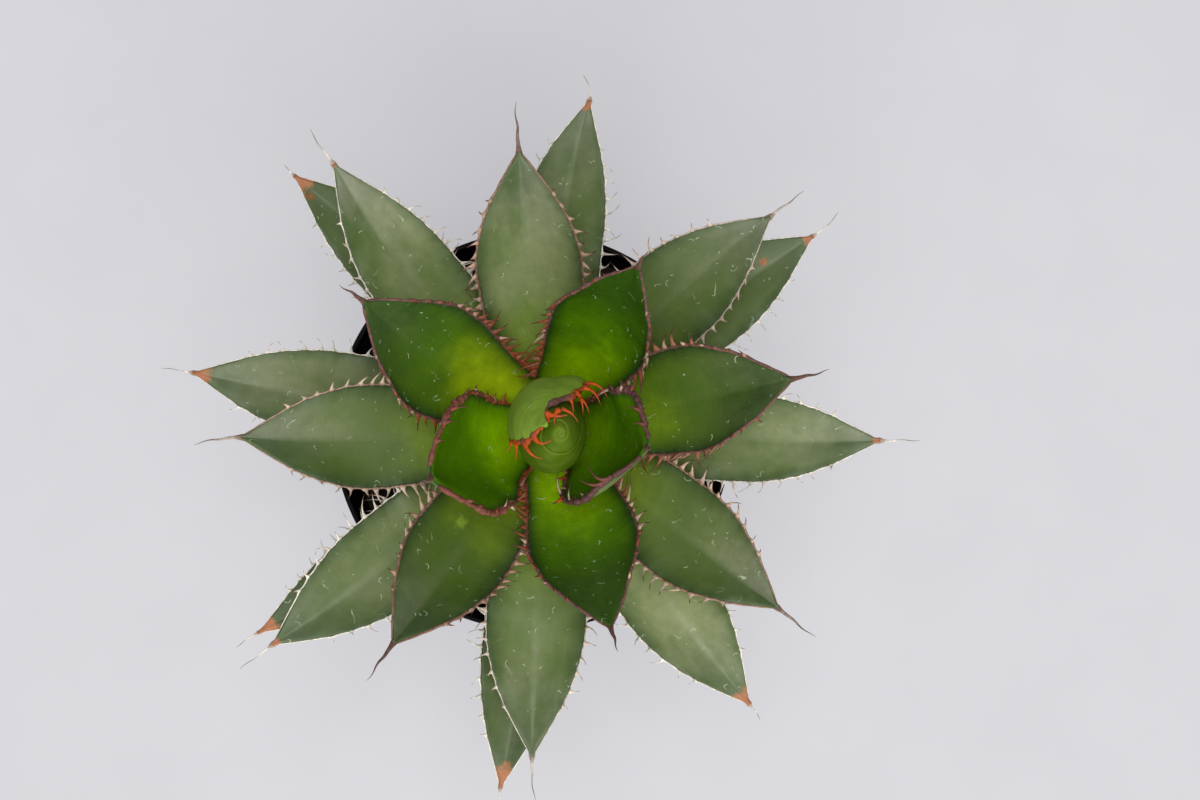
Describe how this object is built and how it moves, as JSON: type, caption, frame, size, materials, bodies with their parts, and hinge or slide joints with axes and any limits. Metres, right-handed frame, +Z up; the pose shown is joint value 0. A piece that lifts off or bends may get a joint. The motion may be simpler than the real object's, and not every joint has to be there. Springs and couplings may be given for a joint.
{
  "type": "potted agave horrida",
  "caption": "Young spiny-toothed agave rosette with thick green leaves, horny margins and terminal spines, standing in soil in a round black nursery pot.",
  "frame": {"origin": "centre of the flat underside of the pot", "axes": "+Z up along the pot's axis, out of the pot through the rosette; +X is the picture's right and +Y its top, seen from above"},
  "size_m": [0.1857, 0.181, 0.1576],
  "materials": {
    "black_plastic": "satin",
    "potting_soil": "matte",
    "stem_tissue": "matte",
    "old_leaf_green": "satin",
    "young_leaf_green": "satin",
    "old_margin_horn": "satin",
    "young_margin_horn": "satin",
    "heart_margin_horn": "satin"
  },
  "bodies": {
    "root": {"pot": "black_plastic", "soil": "potting_soil", "stem": "stem_tissue", "leaf_01_blade": "old_leaf_green", "leaf_01_margin": "old_margin_horn", "leaf_02_blade": "old_leaf_green", "leaf_02_margin": "old_margin_horn", "leaf_03_blade": "old_leaf_green", "leaf_03_margin": "old_margin_horn", "leaf_04_blade": "old_leaf_green", "leaf_04_margin": "old_margin_horn", "leaf_05_blade": "old_leaf_green", "leaf_05_margin": "old_margin_horn", "leaf_06_blade": "old_leaf_green", "leaf_06_margin": "old_margin_horn", "leaf_07_blade": "old_leaf_green", "leaf_07_margin": "old_margin_horn", "leaf_08_blade": "old_leaf_green", "leaf_08_margin": "old_margin_horn", "leaf_09_blade": "old_leaf_green", "leaf_09_margin": "old_margin_horn", "leaf_10_blade": "old_leaf_green", "leaf_10_margin": "old_margin_horn", "leaf_11_blade": "old_leaf_green", "leaf_11_margin": "old_margin_horn", "leaf_12_blade": "old_leaf_green", "leaf_12_margin": "old_margin_horn", "leaf_13_blade": "young_leaf_green", "leaf_13_margin": "young_margin_horn", "leaf_14_blade": "young_leaf_green", "leaf_14_margin": "young_margin_horn", "leaf_15_blade": "young_leaf_green", "leaf_15_margin": "young_margin_horn", "leaf_16_blade": "young_leaf_green", "leaf_16_margin": "young_margin_horn", "leaf_17_blade": "young_leaf_green", "leaf_17_margin": "young_margin_horn", "leaf_18_blade": "young_leaf_green", "leaf_18_margin": "young_margin_horn", "leaf_19_blade": "young_leaf_green", "leaf_19_margin": "young_margin_horn", "leaf_20_blade": "young_leaf_green", "leaf_20_margin": "young_margin_horn", "leaf_21_blade": "young_leaf_green", "leaf_21_margin": "young_margin_horn", "leaf_22_blade": "young_leaf_green", "leaf_22_margin": "young_margin_horn", "bud_leaf_blade": "young_leaf_green", "bud_leaf_margin": "heart_margin_horn", "bud_core": "young_leaf_green"}
  },
  "joints": []
}
